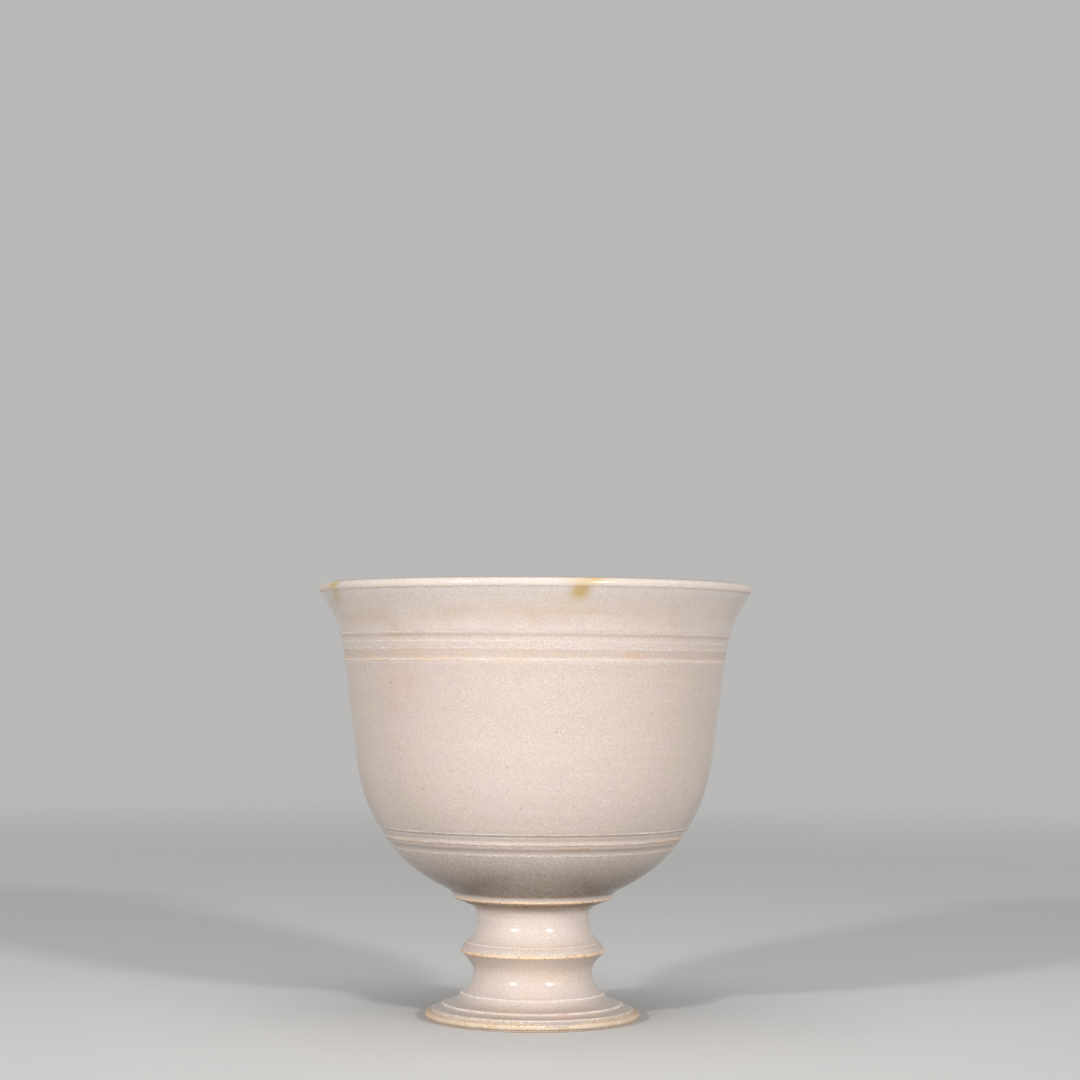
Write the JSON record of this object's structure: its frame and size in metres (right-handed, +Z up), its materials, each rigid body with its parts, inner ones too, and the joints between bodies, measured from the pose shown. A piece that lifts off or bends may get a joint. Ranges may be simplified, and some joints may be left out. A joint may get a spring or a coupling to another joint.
{
  "type": "stem cup",
  "caption": "Small white-glazed stem cup with a deep flared bowl, turned grooves and a hollow stepped foot.",
  "frame": {"origin": "centre of the resting ring, on the plane that the cup stands on", "axes": "+Z up along the axis that the cup was turned about, X and Y level; the picture looks along +Y"},
  "size_m": [0.085, 0.085, 0.0845],
  "materials": {
    "bowl_glaze": "thin ivory-white glaze, satin, with fine specks and pits",
    "fired_slip": "bare, matt, gritty",
    "foot_glaze": "thin ivory-white glaze over a bare buff edge and resting ring"
  },
  "bodies": {
    "root": {"bowl": "bowl_glaze", "luting_slip": "fired_slip", "stem_foot": "foot_glaze"}
  },
  "joints": []
}
